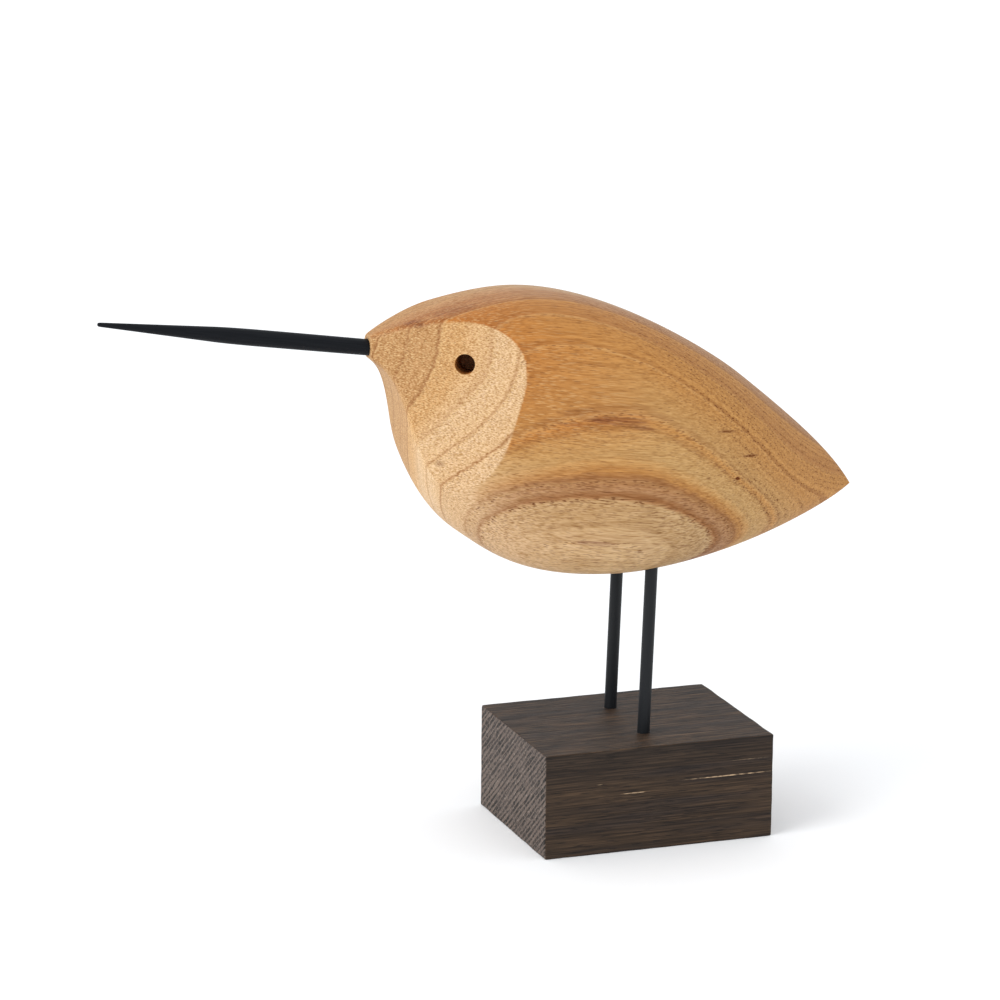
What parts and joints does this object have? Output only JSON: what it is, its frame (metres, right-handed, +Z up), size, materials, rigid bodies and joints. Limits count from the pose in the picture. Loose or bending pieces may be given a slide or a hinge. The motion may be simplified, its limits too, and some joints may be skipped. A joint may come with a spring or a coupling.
{
  "type": "bird figurine",
  "caption": "Carved wooden wading bird with a long black beak, standing on two thin black rods set in a rectangular wooden block.",
  "frame": {"origin": "middle of the block's underside", "axes": "+Z up, beak towards -X and tail towards +X, the bird's left side towards -Y"},
  "size_m": [0.1939, 0.0506, 0.1374],
  "materials": {
    "pale_wood": "oiled pale teak, sanded smooth, with open pores and visible growth rings",
    "black_wood": "black stain, satin",
    "black_metal": "black, satin",
    "smoked_oak": "dark smoked oak, matt oil, open grain"
  },
  "bodies": {
    "root": {"carved_body": "pale_wood", "beak": "black_wood", "left_leg": "black_metal", "right_leg": "black_metal", "oak_block": "smoked_oak"}
  },
  "joints": []
}
